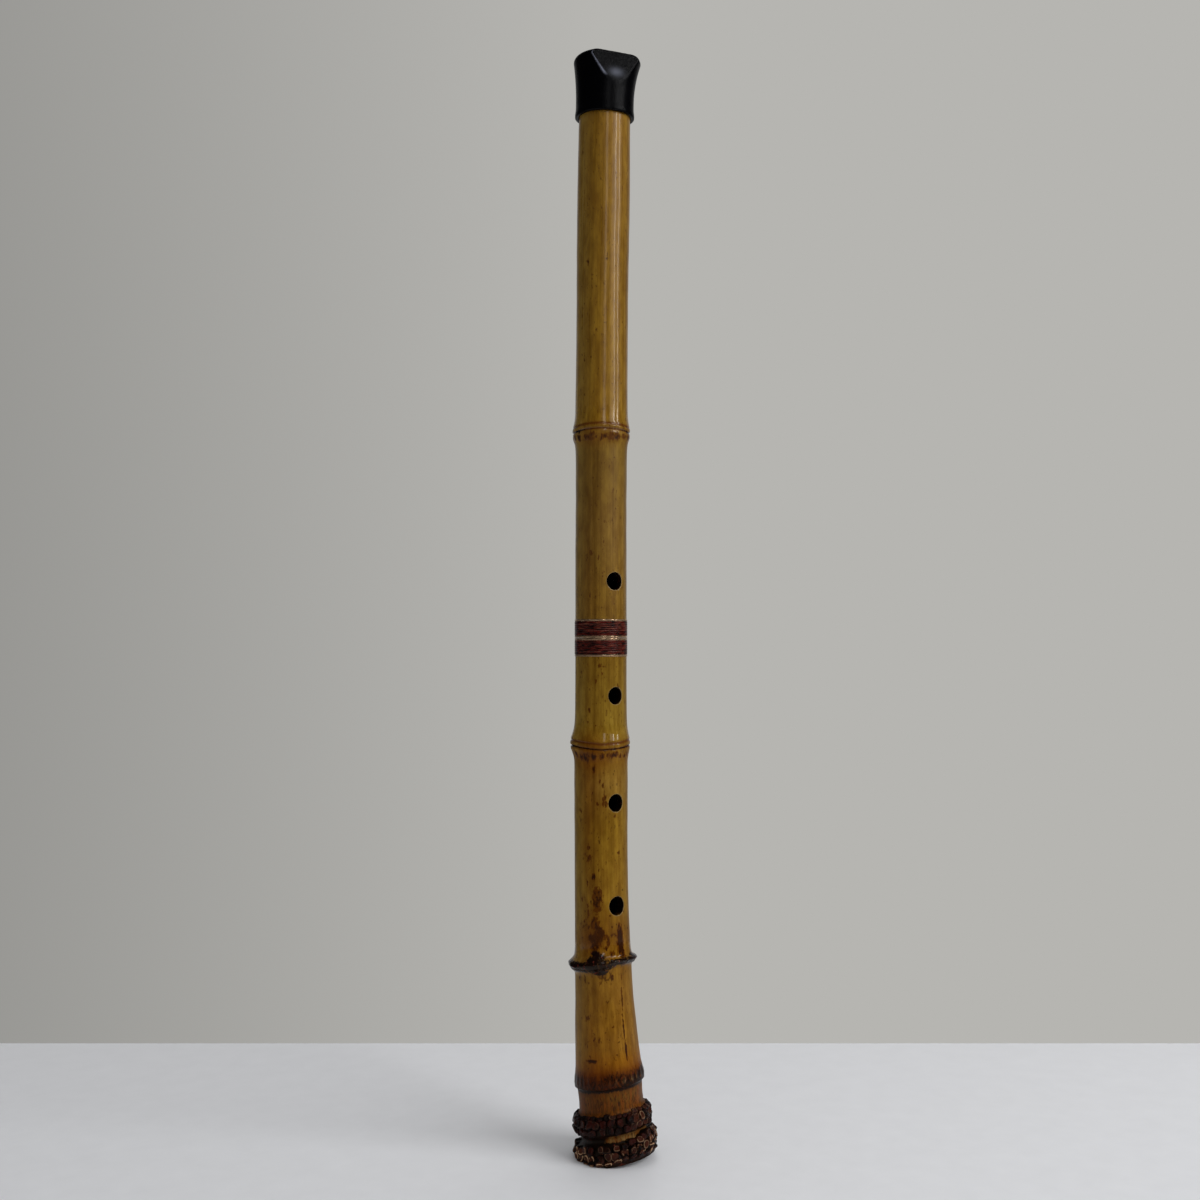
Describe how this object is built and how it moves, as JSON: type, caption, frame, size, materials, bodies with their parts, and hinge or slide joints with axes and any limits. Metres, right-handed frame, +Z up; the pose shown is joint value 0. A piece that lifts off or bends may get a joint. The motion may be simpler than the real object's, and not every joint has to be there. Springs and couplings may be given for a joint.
{
  "type": "shakuhachi",
  "caption": "End-blown bamboo root-end flute in two sections joined by a ringed and bound tenon, with finger and thumb holes and a push-on rubber mouth cap.",
  "frame": {"origin": "middle of the box's underside, on the level that the root end stands on", "axes": "+Z up the bore from the root end to the mouth, -Y the side with the four finger holes and the blowing edge, +Y the thumb hole's side"},
  "size_m": [0.0512, 0.0516, 0.6381],
  "materials": {
    "root_bamboo": "satin",
    "tube_bamboo": "satin",
    "bore_lacquer": "gloss lacquer",
    "rattan": "lacquered",
    "silver_ring": "polished",
    "joint_wood": "oiled",
    "horn": "polished",
    "cap_rubber": "satin"
  },
  "bodies": {
    "lower_section": {"lower_bamboo": "root_bamboo", "lower_bore_lining": "bore_lacquer", "joint_socket": "joint_wood", "lower_face_ring": "silver_ring", "lower_end_ring": "silver_ring", "lower_binding": "rattan"},
    "upper_section": {"upper_bamboo": "tube_bamboo", "upper_bore_lining": "bore_lacquer", "mouthpiece_inlay": "horn", "joint_tenon": "joint_wood", "upper_face_ring": "silver_ring", "upper_end_ring": "silver_ring", "upper_binding": "rattan"},
    "cap": {"mouth_cap": "cap_rubber"}
  },
  "joints": [
    {"name": "middle_joint_pull", "type": "slide", "parent": "lower_section", "child": "upper_section", "axis": [0, 0, 1], "range_m": [0, 0.03]},
    {"name": "cap_pull", "type": "slide", "parent": "upper_section", "child": "cap", "axis": [0.0105, -0.0155, 0.9998], "range_m": [0, 0.038]}
  ]
}
